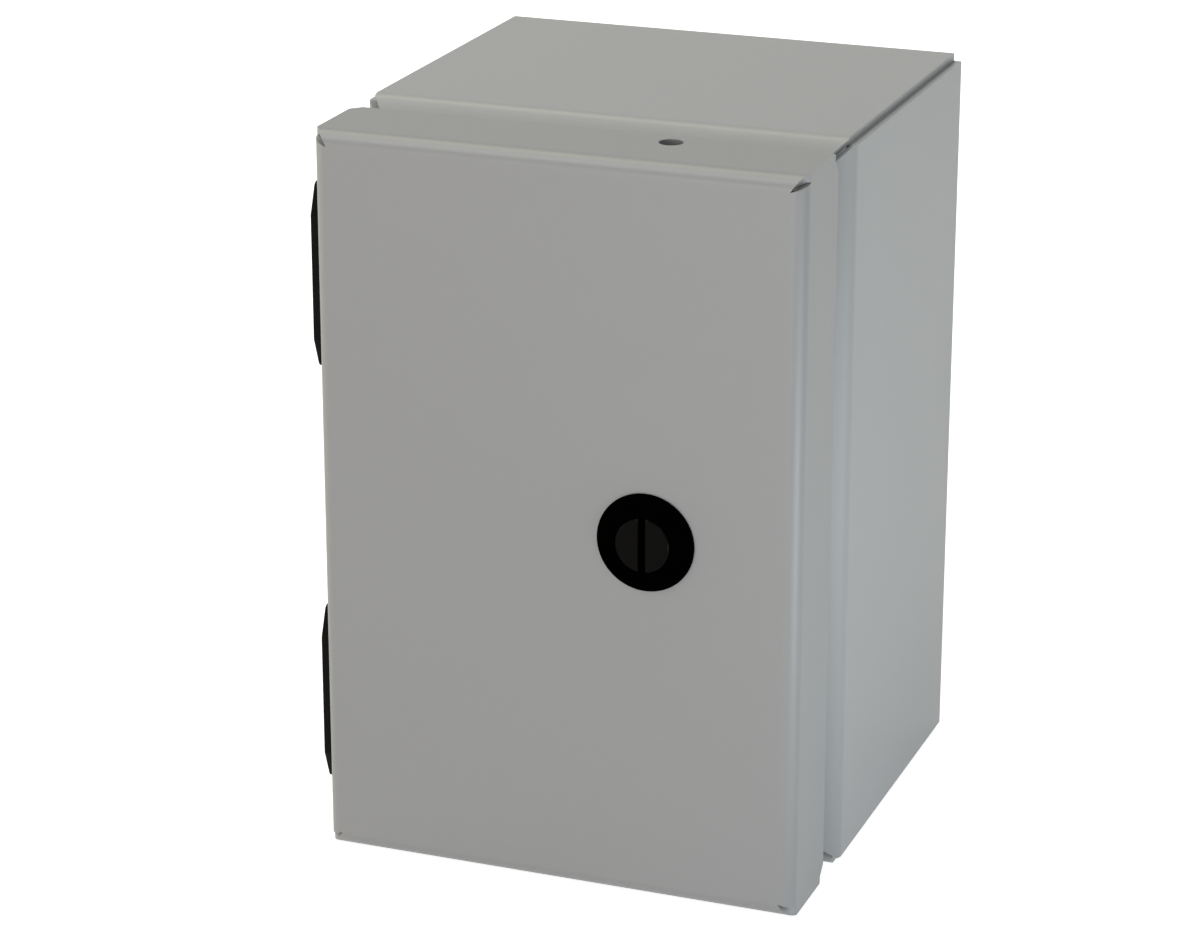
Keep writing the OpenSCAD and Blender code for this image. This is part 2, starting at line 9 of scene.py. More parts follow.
import bmesh
import bpy
import numpy as np
from bpy.props import FloatProperty, FloatVectorProperty, PointerProperty
from mathutils import Euler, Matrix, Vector


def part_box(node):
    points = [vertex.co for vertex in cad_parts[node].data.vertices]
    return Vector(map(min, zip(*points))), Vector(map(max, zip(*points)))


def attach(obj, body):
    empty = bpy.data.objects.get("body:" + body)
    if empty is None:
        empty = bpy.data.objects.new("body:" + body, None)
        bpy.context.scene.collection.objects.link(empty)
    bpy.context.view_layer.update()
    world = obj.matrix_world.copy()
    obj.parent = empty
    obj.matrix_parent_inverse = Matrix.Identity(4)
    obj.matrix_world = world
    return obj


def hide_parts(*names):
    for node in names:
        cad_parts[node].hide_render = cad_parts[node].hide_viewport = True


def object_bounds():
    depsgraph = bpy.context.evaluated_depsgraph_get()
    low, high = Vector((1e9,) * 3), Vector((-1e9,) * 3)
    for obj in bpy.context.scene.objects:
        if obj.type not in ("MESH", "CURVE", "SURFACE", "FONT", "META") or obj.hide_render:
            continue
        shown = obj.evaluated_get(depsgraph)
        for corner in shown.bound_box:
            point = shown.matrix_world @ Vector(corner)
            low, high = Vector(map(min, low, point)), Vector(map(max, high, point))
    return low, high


bl_info = {
    "name": "Steel wall enclosure",
    "version": (1, 0, 0),
    "blender": (4, 5, 0),
    "location": "3D View > Sidebar > Enclosure",
    "description": "Finishes, threads, seals and stage of a steel wall enclosure",
    "category": "Object",
}

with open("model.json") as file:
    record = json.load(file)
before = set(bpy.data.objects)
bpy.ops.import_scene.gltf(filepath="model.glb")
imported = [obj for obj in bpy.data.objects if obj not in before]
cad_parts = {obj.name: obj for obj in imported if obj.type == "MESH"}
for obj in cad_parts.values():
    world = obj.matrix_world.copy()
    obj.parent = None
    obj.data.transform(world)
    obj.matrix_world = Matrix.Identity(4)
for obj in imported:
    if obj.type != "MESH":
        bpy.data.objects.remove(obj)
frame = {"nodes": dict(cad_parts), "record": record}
CAD_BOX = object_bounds()
MM = 0.001
# Eased edges: faces within FLAT_ANGLE degrees are one face, and edges past SHARP_ANGLE are eased
FLAT_ANGLE = 1
SHARP_ANGLE = 30
EASE_SEGMENTS = 3


def linear(colour):
    """An sRGB hex colour as linear red, green and blue."""
    parts = [int(colour[i:i + 2], 16) / 255 for i in (1, 3, 5)]
    return tuple(p / 12.92 if p <= 0.04045 else ((p + 0.055) / 1.055) ** 2.4 for p in parts)


def rgba(colour):
    """A linear colour with full opacity, as a shader's colour socket takes it."""
    return (colour[0], colour[1], colour[2], 1)


# ---- Materials ----

def add_node(material, kind, settings=None, links=None):
    """Adds a node: settings are its properties or input values, links map its inputs to
    (node, output) pairs."""
    tree = material.node_tree
    node = tree.nodes.new(kind)
    for key, value in (settings or {}).items():
        if key in node.inputs:
            node.inputs[key].default_value = value
        else:
            setattr(node, key, value)
    for key, (source, output) in (links or {}).items():
        tree.links.new(source.outputs[output], node.inputs[key])
    return node


def new_material(name):
    """An empty node material and its output node."""
    material = bpy.data.materials.new(name)
    material.use_nodes = True
    material.node_tree.nodes.clear()
    return material, add_node(material, "ShaderNodeOutputMaterial")


def finish_material(material, output, shader):
    """Joins the shader to the material's output."""
    material.node_tree.links.new(shader.outputs[0], output.inputs["Surface"])
    return material


def powder_coat(name, colour):
    """Polyester powder coat, sprayed and baked: a satin skin with a fine orange peel whose
    bumps are about 1.5 mm apart, and a film that is a shade thinner in patches of 35 mm."""
    material, output = new_material(name)
    place = add_node(material, "ShaderNodeTexCoord")
    peel = add_node(material, "ShaderNodeTexNoise", {"Scale": 1 / (1.5 * MM), "Detail": 2.0},
                    {"Vector": (place, "Object")})
    film = add_node(material, "ShaderNodeTexNoise", {"Scale": 1 / (35 * MM), "Detail": 3.0},
                    {"Vector": (place, "Object")})
    shade = add_node(material, "ShaderNodeMapRange", {"To Min": 0.985, "To Max": 1.015},
                     {"Value": (film, "Fac")})
    tint = add_node(material, "ShaderNodeVectorMath", {"operation": "SCALE"},
                    {"Scale": (shade, "Result")})
    tint.inputs[0].default_value = colour
    gloss = add_node(material, "ShaderNodeMapRange", {"To Min": 0.43, "To Max": 0.47},
                     {"Value": (film, "Fac")})
    bump = add_node(material, "ShaderNodeBump", {"Strength": 0.08, "Distance": 0.02 * MM},
                    {"Height": (peel, "Fac")})
    shader = add_node(material, "ShaderNodeBsdfPrincipled",
                      {"IOR": 1.5, "Specular IOR Level": 1.0},
                      {"Base Color": (tint, "Vector"), "Roughness": (gloss, "Result"),
                       "Normal": (bump, "Normal")})
    return finish_material(material, output, shader)


def plain(name, colour, roughness, grain=1.0, strength=0.1, spread=0.06, specular=0.5):
    """A hard dark surface: a grain of the given size in millimetres that shows in its bumps,
    and a gloss that drifts by the spread on either side of the roughness."""
    material, output = new_material(name)
    place = add_node(material, "ShaderNodeTexCoord")
    noise = add_node(material, "ShaderNodeTexNoise", {"Scale": 1 / (grain * MM), "Detail": 3.0},
                     {"Vector": (place, "Object")})
    gloss = add_node(material, "ShaderNodeMapRange",
                     {"To Min": roughness - spread, "To Max": roughness + spread},
                     {"Value": (noise, "Fac")})
    bump = add_node(material, "ShaderNodeBump", {"Strength": strength, "Distance": 0.02 * MM},
                    {"Height": (noise, "Fac")})
    shader = add_node(material, "ShaderNodeBsdfPrincipled",
                      {"Base Color": rgba(colour), "Specular IOR Level": specular},
                      {"Roughness": (gloss, "Result"), "Normal": (bump, "Normal")})
    return finish_material(material, output, shader)


def dress(material, *names):
    """Gives the CAD nodes of those names that material on every slot."""
    for name in names:
        mesh = frame["nodes"][name].data
        mesh.materials.clear()
        mesh.materials.append(material)


def cast_black(name, colour):
    """Zinc die casting under a thin black coat: a pebbly skin 0.7 mm apart, glossier where the
    coat has run thin over it."""
    return plain(name, colour, 0.45, grain=0.7, strength=0.3, spread=0.07, specular=0.05)


def zinc_plate(name):
    """Bright zinc plate with a thin clear passivation: bluish metal whose shade and gloss
    drift in blotches of about 6 mm, with fine crystals 0.3 mm apart."""
    material, output = new_material(name)
    place = add_node(material, "ShaderNodeTexCoord")
    blotch = add_node(material, "ShaderNodeTexNoise", {"Scale": 1 / (6 * MM), "Detail": 4.0},
                      {"Vector": (place, "Object")})
    crystal = add_node(material, "ShaderNodeTexVoronoi", {"Scale": 1 / (0.3 * MM)},
                       {"Vector": (place, "Object")})
    tint = add_node(material, "ShaderNodeMix", {"data_type": "RGBA"})
    tint.inputs[6].default_value = rgba(linear("#9299a3"))
    tint.inputs[7].default_value = rgba(linear("#b2b3b0"))
    material.node_tree.links.new(blotch.outputs["Fac"], tint.inputs[0])
    gloss = add_node(material, "ShaderNodeMapRange", {"To Min": 0.26, "To Max": 0.42},
                     {"Value": (blotch, "Fac")})
    bump = add_node(material, "ShaderNodeBump", {"Strength": 0.12, "Distance": 0.01 * MM},
                    {"Height": (crystal, "Distance")})
    shader = add_node(material, "ShaderNodeBsdfPrincipled", {"Metallic": 1.0},
                      {"Roughness": (gloss, "Result"), "Normal": (bump, "Normal")})
    material.node_tree.links.new(tint.outputs[2], shader.inputs["Base Color"])
    return finish_material(material, output, shader)


def foam_skin(name):
    """Two-part polyurethane foam: a dark matt skin with shallow cells 0.5 mm apart and a few
    open pores."""
    material, output = new_material(name)
    place = add_node(material, "ShaderNodeTexCoord")
    cells = add_node(material, "ShaderNodeTexVoronoi", {"Scale": 1 / (0.5 * MM)},
                     {"Vector": (place, "Object")})
    patch = add_node(material, "ShaderNodeTexNoise", {"Scale": 1 / (4 * MM), "Detail": 3.0},
                     {"Vector": (place, "Object")})
    shade = add_node(material, "ShaderNodeValToRGB", None, {"Fac": (patch, "Fac")})
    ramp = shade.color_ramp
    ramp.elements[0].position, ramp.elements[1].position = 0.3, 0.7
    ramp.elements[0].color = rgba(linear("#232427"))
    ramp.elements[1].color = rgba(linear("#33353a"))
    bump = add_node(material, "ShaderNodeBump", {"Strength": 0.35, "Distance": 0.08 * MM},
                    {"Height": (cells, "Distance")})
    shader = add_node(material, "ShaderNodeBsdfPrincipled",
                      {"Roughness": 0.88, "Specular IOR Level": 0.3, "Sheen Weight": 0.1},
                      {"Base Color": (shade, "Color"), "Normal": (bump, "Normal")})
    return finish_material(material, output, shader)


def rubber_skin(name):
    """Moulded nitrile rubber: matt black with a fine grain."""
    return plain(name, linear("#1b1b1d"), 0.72, grain=0.35, strength=0.2, specular=0.3)


# ---- Surfaces ----

def grid_faces(rows, columns, wrap_rows, wrap_columns):
    """Quads between neighbouring points of a grid numbered row by row; a wrapped direction
    joins its last line to its first."""
    i = np.arange(rows if wrap_rows else rows - 1)[:, None]
    j = np.arange(columns if wrap_columns else columns - 1)[None, :]
    near, far = i * columns, (i + 1) % rows * columns
    here, there = j, (j + 1) % columns
    return np.stack([near + here, far + here, far + there, near + there], -1).reshape(-1, 4)


def closed_surface(points, wrap_rows=True, wrap_columns=False):
    """Vertices and quads of a grid of points, turned so that the faces look outwards: the sum
    of corner . (edge x edge) over its triangles is six times the volume, so its sign tells."""
    rows, columns = points.shape[:2]
    corners = points.reshape(-1, 3)
    faces = grid_faces(rows, columns, wrap_rows, wrap_columns)
    a, b, c, d = (corners[faces[:, k]] - corners.mean(0) for k in range(4))
    volume = np.sum(np.cross(b, c) * a) + np.sum(np.cross(c, d) * a)
    return corners, faces if volume > 0 else faces[:, ::-1]


def revolve(radii, heights, steps=96):
    """A profile turned about +Z: x = r cos a, y = r sin a, z = h. radii and heights are one
    profile, or have one row for each of the angles."""
    angle = np.linspace(0, 2 * math.pi, steps, endpoint=False)[:, None]
    radii, heights = np.broadcast_arrays(*np.atleast_2d(radii, heights))
    return np.stack([radii * np.cos(angle), radii * np.sin(angle),
                     heights + 0 * angle], -1)


def rounded(corners, radius, steps=6):
    """A closed outline with its corners cut to arcs: each corner becomes a quadratic curve
    between points up to one radius back along its two sides, p = (1-t)^2 a + 2t(1-t) c + t^2 b."""
    here = np.asarray(corners, float)
    back, ahead = np.roll(here, 1, 0) - here, np.roll(here, -1, 0) - here
    reach = [np.minimum(radius, 0.45 * np.linalg.norm(side, axis=1))[:, None]
             * side / np.linalg.norm(side, axis=1)[:, None] for side in (back, ahead)]
    t = np.linspace(0, 1, steps)[None, :, None]
    a, b, c = (here + reach[0])[:, None], (here + reach[1])[:, None], here[:, None]
    return ((1 - t) ** 2 * a + 2 * t * (1 - t) * c + t ** 2 * b).reshape(-1, 2)


def facing_room(points, place):
    """Lays a shape drawn along +Z with its axis towards -Y: (x, y, z) becomes (x, -z, y)."""
    x, y, z = np.moveaxis(points, -1, 0)
    return np.stack([place[0] + x, place[1] - z, place[2] + y], -1)


def facing_wall(points, place):
    """Lays a shape drawn along +Z with its axis towards +Y: (x, y, z) becomes (x, z, -y)."""
    x, y, z = np.moveaxis(points, -1, 0)
    return np.stack([place[0] + x, place[1] + z, place[2] - y], -1)


def thread_depth(angle, height, pitch, depth):
    """Depth of a V thread below its crest: a rounded saw wave of height / pitch - angle / turn."""
    phase = (height / pitch - angle / (2 * math.pi)) % 1
    return depth * (1 - np.abs(2 * phase - 1)) ** 0.8


def piece(name, surfaces, material, body, nodes=(), sharp=35):
    """One object from closed surfaces, smooth up to the sharp angle, on the given body."""
    vertices, faces, start = [], [], 0
    for corners, quads in surfaces:
        vertices.append(corners)
        faces.append(quads + start)
        start += len(corners)
    mesh = bpy.data.meshes.new(name)
    mesh.from_pydata(np.concatenate(vertices).tolist(), [], np.concatenate(faces).tolist())
    settle(mesh, sharp)
    return place_piece(name, mesh, material, body, nodes)


def settle(mesh, sharp):
    """Joins doubled points, which closes poles, and smooths the faces up to the sharp angle."""
    work = bmesh.new()
    work.from_mesh(mesh)
    bmesh.ops.remove_doubles(work, verts=work.verts, dist=1e-7)
    bmesh.ops.dissolve_degenerate(work, dist=1e-8, edges=work.edges)
    work.to_mesh(mesh)
    work.free()
    mesh.polygons.foreach_set("use_smooth", np.ones(len(mesh.polygons), bool))
    mesh.set_sharp_from_angle(angle=math.radians(sharp))


def place_piece(name, mesh, material, body, nodes):
    """Puts a finished mesh into the scene: on its body, in place of its nodes."""
    mesh.materials.clear()
    mesh.materials.append(material)
    thing = bpy.data.objects.new(name, mesh)
    bpy.context.scene.collection.objects.link(thing)
    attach(thing, body)
    if nodes:
        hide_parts(*nodes)
    return thing


def eased_copy(node, name, material, radius):
    """A copy of a CAD node with its points joined, its flat faces merged and its sharp edges
    rounded to that radius."""
    work = bmesh.new()
    work.from_mesh(frame["nodes"][node].data)
    bmesh.ops.remove_doubles(work, verts=work.verts, dist=2e-6)
    bmesh.ops.dissolve_limit(work, angle_limit=math.radians(FLAT_ANGLE), verts=work.verts,
                             edges=work.edges)
    mesh = bpy.data.meshes.new(name)
    work.to_mesh(mesh)
    work.free()
    mesh.polygons.foreach_set("use_smooth", np.ones(len(mesh.polygons), bool))
    thing = place_piece(name, mesh, material, body_of(node), [node])
    bevel = thing.modifiers.new("eased edges", "BEVEL")
    bevel.width = radius
    bevel.segments = EASE_SEGMENTS
    bevel.limit_method = "ANGLE"
    bevel.angle_limit = math.radians(SHARP_ANGLE)
    bevel.harden_normals = False
    bevel.miter_outer = "MITER_ARC"
    return thing


# ---- Settings ----

def fine_size(name, description, size):
    """A length that a user may change: size is in millimetres, the property in metres."""
    return FloatProperty(name=name, description=description, default=size * MM, min=0,
                         precision=5, unit="LENGTH")


class EnclosureSettings(bpy.types.PropertyGroup):
    """Colours and fine sizes that a user would change."""
    body_colour: FloatVectorProperty(
        name="Box colour", description="Powder coat of the box", subtype="COLOR",
        default=linear("#a1a2a1"), min=0, max=1)
    door_colour: FloatVectorProperty(
        name="Door colour", description="Powder coat of the door", subtype="COLOR",
        default=linear("#8f8f8e"), min=0, max=1)
    black_colour: FloatVectorProperty(
        name="Black colour", description="Coat of the hinge castings", subtype="COLOR",
        default=linear("#0b0b0a"), min=0, max=1)
    sky_level: FloatProperty(
        name="Sky level", description="Strength of the even light", default=0.17, min=0, max=2)
    weld_leg: fine_size("Weld leg", "Side of the beads inside the corners", 1.9)
    weld_ripple: fine_size("Weld ripple", "Distance between the crests of those beads", 1.7)
    mitre_bead: fine_size("Mitre bead", "Radius of the thin runs in the slanted mitres", 0.26)
    mitre_ripple: fine_size("Mitre ripple", "Distance between the crests of the thin runs", 1.2)
    gasket_width: fine_size("Gasket width", "Width of the foam strip", 8)
    gasket_bend: fine_size("Gasket bend", "Radius of the strip's path at its corners", 5)
    barrel_pitch: fine_size("Barrel pitch", "Pitch of the thread on the latch's barrel", 1.5)
    stud_pitch: fine_size("Stud pitch", "Pitch of the thread on the weld studs", 0.8)
    cast_edge: fine_size("Cast edge", "Radius on the edges of the hinge leaves and the cam", 0.35)
    nut_edge: fine_size("Nut edge", "Radius on the edges of large nuts and hinge pins", 0.15)
    turned_edge: fine_size("Turned edge", "Radius on the insert, the cam's washer and screw", 0.12)
    small_edge: fine_size("Small edge", "Radius on the hinges' screws and nuts", 0.1)


def body_of(node):
    """Name of the body that carries a CAD node."""
    return next(body for body, nodes in frame["record"]["behaviour"]["bodies"].items()
                if node in nodes)


# ---- Pieces ----

class ENCLOSURE_OT_sheets(bpy.types.Operator):
    """Coats the folded sheets of the box and the door"""
    bl_idname = "enclosure.sheets"
    bl_label = "Coat the sheets"
    bl_options = {"REGISTER", "UNDO"}

    def execute(self, context):
        settings = context.scene.enclosure
        box = powder_coat("polyester_powder_coat_box", settings.body_colour)
        door = powder_coat("polyester_powder_coat_door", settings.door_colour)
        dress(box, "top_panel", "bottom_panel", "left_panel", "right_panel", "back_panel")
        dress(door, "door_panel")
        return {"FINISHED"}


class ENCLOSURE_OT_welds(bpy.types.Operator):
    """Lays the rippled weld beads along the box's seams, under the same coat"""
    bl_idname = "enclosure.welds"
    bl_label = "Lay the welds"
    bl_options = {"REGISTER", "UNDO"}

    def execute(self, context):
        settings = context.scene.enclosure
        coat = powder_coat("polyester_powder_coat_welds", settings.body_colour)
        beads = [self.fillet(*seam, settings.weld_leg, settings.weld_ripple)
                 for seam in self.seams()]
        beads += [self.mitre(*run, settings.mitre_bead, settings.mitre_ripple)
                  for run in self.mitres()]
        piece("painted_weld_beads", beads, coat, "enclosure",
              ["seam_welds"], sharp=50)
        return {"FINISHED"}

    def seams(self):
        """Start, end and the two leg directions of every bead, from the beads' own box and the
        walls: four along the depth, four round the back panel and four in the lip's corners.
        The first four end at the walls' first bend, and the last four are as long as the lip
        is straight."""
        slant_depth, lip_run = 14.2 * MM, 9.2 * MM
        low, high = (np.array(corner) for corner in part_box("seam_welds"))
        wall_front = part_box("top_panel")[0][1]
        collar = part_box("top_panel")[0][2]
        bend = wall_front + (high[2] - collar) + slant_depth
        x, z, back = high[0], high[2], high[1]
        lip_x, lip_z = x - (z - collar), collar
        for sx in (-1, 1):
            for sz in (-1, 1):
                legs = (-sx, 0, 0), (0, 0, -sz)
                yield (sx * x, back, sz * z), (sx * x, bend, sz * z), *legs
                yield ((sx * lip_x, wall_front + lip_run, sz * lip_z),
                       (sx * lip_x, wall_front, sz * lip_z), *legs)
        for sz in (-1, 1):
            yield (-x, back, sz * z), (x, back, sz * z), (0, -1, 0), (0, 0, -sz)
        for sx in (-1, 1):
            yield (sx * x, back, -z), (sx * x, back, z), (0, -1, 0), (-sx, 0, 0)

    def mitres(self):
        """Start and end of the thin runs in the four mitres between the slanted flanges: from
        the relief hole at the walls' first bend to the inside corner at the second."""
        relief, corner = (48.84, 73.98, 74.24), (40.3, 82.5, 65.7)
        for sx in (-1, 1):
            for sz in (-1, 1):
                yield tuple(np.array((sx * x, -y, sz * z)) * MM for x, y, z in (relief, corner))

    def mitre(self, start, end, bead, ripple):
        """A thin round bead: a tube of radius bead * (1 + rise * |sin|) with a crest every
        ripple, drawn in to a point over the first and last 40th of its length."""
        rise, closing = 0.15, 40
        run = end - start
        length = np.linalg.norm(run)
        side = np.cross(run / length, (0, 1, 0))
        side /= np.linalg.norm(side)
        other = np.cross(run / length, side)
        along = np.linspace(0, 1, 60)[:, None]
        turn = np.linspace(0, 2 * math.pi, 12, endpoint=False)[None, :]
        crest = 1 + rise * np.abs(np.sin(math.pi * along * length / ripple))
        taper = np.sqrt(np.clip(np.minimum(along, 1 - along) * closing, 0, 1))
        radius = bead * crest * taper
        ring = (radius * np.cos(turn))[..., None] * side + (radius * np.sin(turn))[..., None] * other
        return closed_surface((start + run * along)[:, None] + ring, False, True)

    def fillet(self, start, end, leg_a, leg_b, leg, ripple):
        """A bead along a straight inside corner. Across it, at angle t between the two legs, its
        radius is leg * (trough + wave) / (cos t + sin t) ** dome, slightly domed. The wave has
        a crest every ripple, which trails like a scale, and the legs shrink to nothing at both
        ends."""
        step, closing, root_depth = 0.42 * MM, 1.2 * MM, 0.1 * MM
        trough, rise, trail, dome = 0.94, 0.07, 0.5, 0.7
        start, end, leg_a, leg_b = (np.array(v, float) for v in (start, end, leg_a, leg_b))
        length = np.linalg.norm(end - start)
        along = np.linspace(0, 1, int(length / step) + 2)[:, None]
        across = np.linspace(0, math.pi / 2, 9)[None, :]
        lag = trail * np.sin(2 * across)
        wave = rise * np.abs(np.sin(math.pi * (along * length / ripple + lag)))
        taper = np.clip(np.minimum(along, 1 - along) * length / closing, 0, 1) ** 0.5
        radius = leg * taper * (trough + wave) / (np.cos(across) + np.sin(across)) ** dome
        face = (radius * np.cos(across))[..., None] * leg_a \
            + (radius * np.sin(across))[..., None] * leg_b
        root = np.zeros((len(along), 1, 3)) - root_depth * (leg_a + leg_b)
        ring = np.concatenate([face, root * taper[..., None]], 1)
        path = start + (end - start) * along
        return closed_surface(path[:, None] + ring, False, True)


class ENCLOSURE_OT_gasket(bpy.types.Operator):
    """Makes the foamed-in-place gasket on the inside of the door"""
    bl_idname = "enclosure.gasket"
    bl_label = "Make the gasket"
    bl_options = {"REGISTER", "UNDO"}

    def execute(self, context):
        settings = context.scene.enclosure
        low, high = (np.array(corner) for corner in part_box("door_gasket"))
        foam = foam_skin("polyurethane_foam_gasket")
        width = settings.gasket_width
        half = (high - low)[[0, 2]] / 2 - width / 2
        points = self.ring(half, settings.gasket_bend, width, high[1] - low[1], low[1])
        piece("foam_gasket_ring", [closed_surface(points, True, True)], foam, "door",
              ["door_gasket"], sharp=60)
        return {"FINISHED"}

    def ring(self, half, bend, width, height, seat):
        """The strip's section, carried round a rounded rectangle. The path is straight runs
        joined by quarter circles of radius bend. The section is a super-ellipse dome with a
        flat foot: out = w / 2 * cos t * |cos t| ^ -0.2, up = h * sin t ^ 0.65, t from 0 to pi.
        Width and height wander by about 1 % in two waves, the height less, and swell by 2 % at
        the joint, where the pour starts and ends. Slack keeps the strip inside its seat."""
        step, swell, joint_place, joint_reach = 1.5 * MM, 0.02, 0.13, 0.006
        side_slack, top_slack, height_share = 0.025, 0.035, 0.6
        path, outward = rounded_rectangle(half, bend, step)
        turn = np.arange(len(path)) / len(path)
        wander = sum(share * np.sin(2 * math.pi * count * turn + start)
                     for share, count, start in ((0.012, 9, 0), (0.01, 23, 1)))
        joint = np.exp(-((turn - joint_place) / joint_reach) ** 2)
        wide = (1 - side_slack + wander + swell * joint)[:, None]
        high = (1 - top_slack + height_share * wander + swell * joint)[:, None]
        t = np.linspace(0, math.pi, 19)[None, :]
        out = width / 2 * wide * np.sign(np.cos(t)) * np.abs(np.cos(t)) ** 0.8
        up = height * high * np.sin(t) ** 0.65
        x = path[:, :1] + outward[:, :1] * out
        z = path[:, 1:] + outward[:, 1:] * out
        return np.stack([x, seat + up + 0 * x, z], -1)


def rounded_rectangle(half, radius, step):
    """Points about a step apart round a rectangle of the given half sizes whose corners are
    quarter circles, with the outward direction at each point."""
    corner = np.linspace(0, math.pi / 2, max(3, int(radius * math.pi / 2 / step) * 2 + 1))
    points, outward = [], []
    for k in range(4):
        angle = corner + k * math.pi / 2
        sign = np.array([(1, 1), (-1, 1), (-1, -1), (1, -1)][k])
        centre = sign * (half - radius)
        direction = np.stack([np.cos(angle), np.sin(angle)], 1)
        arc = centre + radius * direction
        following = np.array([(-1, 1), (-1, -1), (1, -1), (1, 1)][k]) * (half - radius) \
            + radius * direction[-1]
        count = int(np.linalg.norm(following - arc[-1]) / step)
        run = arc[-1] + (following - arc[-1]) * (np.arange(1, count) / count)[:, None]
        points += [arc, run]
        outward += [direction, np.tile(direction[-1], (len(run), 1))]
    return np.concatenate(points), np.concatenate(outward)


class ENCLOSURE_OT_hinges(bpy.types.Operator):
    """Eases the edges of the cast hinge leaves and finishes their pins, screws and nuts"""
    bl_idname = "enclosure.hinges"
    bl_label = "Finish the hinges"
    bl_options = {"REGISTER", "UNDO"}

    def execute(self, context):
        settings = context.scene.enclosure
        casting = cast_black("black_coated_zinc_die_casting", settings.black_colour)
        screw = plain("black_phosphated_screw_steel", linear("#1d1d1e"), 0.42, specular=0.3)
        zinc = zinc_plate("bright_zinc_plate_hinges")
        for level in ("upper", "lower"):
            for side in ("body", "door"):
                node = f"{level}_hinge_{side}_leaf"
                eased_copy(node, f"cast_{level}_{side}_leaf", casting,
                           settings.cast_edge)
            eased_copy(f"{level}_hinge_pin", f"{level}_pin_rod", zinc,
                       settings.nut_edge)
        for side in ("body", "door"):
            eased_copy(f"hinge_{side}_screws", f"countersunk_{side}_screws", screw,
                       settings.small_edge)
            eased_copy(f"hinge_{side}_nuts", f"hinge_{side}_hex_nuts", zinc,
                       settings.small_edge)
        return {"FINISHED"}


class ENCLOSURE_OT_latch(bpy.types.Operator):
    """Makes the latch: bezel with its threaded barrel, slotted insert, seal, nut and cam"""
    bl_idname = "enclosure.latch"
    bl_label = "Make the latch"
    bl_options = {"REGISTER", "UNDO"}

    def execute(self, context):
        settings = context.scene.enclosure
        low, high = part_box("latch_housing")
        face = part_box("door_panel")[0][1]
        place = ((low[0] + high[0]) / 2, face, (low[2] + high[2]) / 2)
        bezel = plain("black_nylon_bezel", linear("#020202"), 0.6, grain=0.3, strength=0.05,
                      specular=0.0)
        insert = plain("black_passivated_zinc_insert", linear("#060504"), 0.28, grain=0.25,
                       strength=0.15, specular=0.04)
        zinc = zinc_plate("bright_zinc_plate_latch")
        housing = self.housing((high[0] - low[0]) / 2, face - low[1], face - high[1], place,
                               settings.barrel_pitch)
        piece("bezel_and_barrel", [housing], bezel, "door", ["latch_housing"],
              sharp=40)
        eased_copy("latch_spindle", "slotted_insert_shaft", insert,
                   settings.turned_edge)
        for node, name, radius in (("latch_nut", "barrel_hex_nut", settings.nut_edge),
                                   ("latch_cam", "pressed_cam_arm", settings.cast_edge),
                                   ("cam_washer", "cam_plain_washer", settings.turned_edge),
                                   ("cam_screw", "cam_socket_screw", settings.turned_edge)):
            eased_copy(node, name, zinc, radius)
        self.seals(place)
        return {"FINISHED"}

    def housing(self, radius, proud, foot, place, pitch):
        """Bezel and barrel as one turned surface. The profile runs up the outside of the
        barrel, round the bezel and down the bore, with eased corners. On the barrel's outside
        the radius loses the thread's depth, which fades out over 1.5 mm at both ends, or the
        end's chamfer where that is deeper, and the two flats clip x."""
        barrel, bore, shaft_bore, plateau = 8 * MM, 5.7 * MM, 4.05 * MM, 7 * MM
        rim, insert_seat, edge = 0.4 * MM, -6.1 * MM, 0.22 * MM
        depth, run_out, chamfer, flat = 0.75 * MM, 1.5 * MM, 0.6 * MM, 7 * MM
        under_bezel, rings, steps, first_arc = -0.01 * MM, 130, 120, 4
        outside = np.linspace(foot, under_bezel, rings)
        cap = rounded([(barrel, 0), (radius, 0), (radius, rim), (plateau, proud),
                       (bore, proud), (bore, insert_seat), (shaft_bore, insert_seat),
                       (shaft_bore, foot), (barrel - chamfer, foot)], edge)[first_arc:]
        radii = np.concatenate([np.full(rings, barrel), cap[:, 0]])
        heights = np.concatenate([outside, cap[:, 1]])
        points = revolve(radii, heights, steps)
        angle = np.linspace(0, 2 * math.pi, steps, endpoint=False)[:, None]
        fade = np.clip((outside - foot) / run_out, 0, 1) * np.clip(-outside / run_out, 0, 1)
        cut = thread_depth(angle, outside[None, :], pitch, depth) * fade
        slope = chamfer * np.clip(1 - (outside - foot) / chamfer, 0, 1)
        points[:, :rings, :2] *= ((barrel - np.maximum(cut, slope)) / barrel)[..., None]
        points[:, :rings, 0] = np.clip(points[:, :rings, 0], -flat, flat)
        return closed_surface(facing_room(points, place), True, True)

    def seals(self, place):
        """The flat ring under the bezel and the round ring on the shaft, each a small closed
        section turned about the latch's axis."""
        rubber = rubber_skin("nitrile_rubber")
        low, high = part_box("latch_seal")
        outer, inner, thick = (high[0] - low[0]) / 2, 8.3 * MM, high[1] - low[1]
        edge = 0.15 * MM
        section = rounded([(inner, 0), (outer, 0), (outer, thick), (inner, thick)], edge)
        ring = facing_room(revolve(section[:, 0], section[:, 1]), place)
        piece("bezel_sealing_ring", [closed_surface(ring, True, True)], rubber, "door",
              ["latch_seal"])
        low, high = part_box("spindle_oring")
        radius, bead = (high[0] - low[0]) / 2, (high[1] - low[1]) / 2
        turn = np.linspace(0, 2 * math.pi, 24, endpoint=False)
        height = place[1] - (low[1] + high[1]) / 2
        ring = revolve(radius - bead + bead * np.cos(turn), height + bead * np.sin(turn), 64)
        piece("shaft_o_ring", [closed_surface(facing_room(ring, place), True, True)], rubber,
              "latch", ["spindle_oring"])


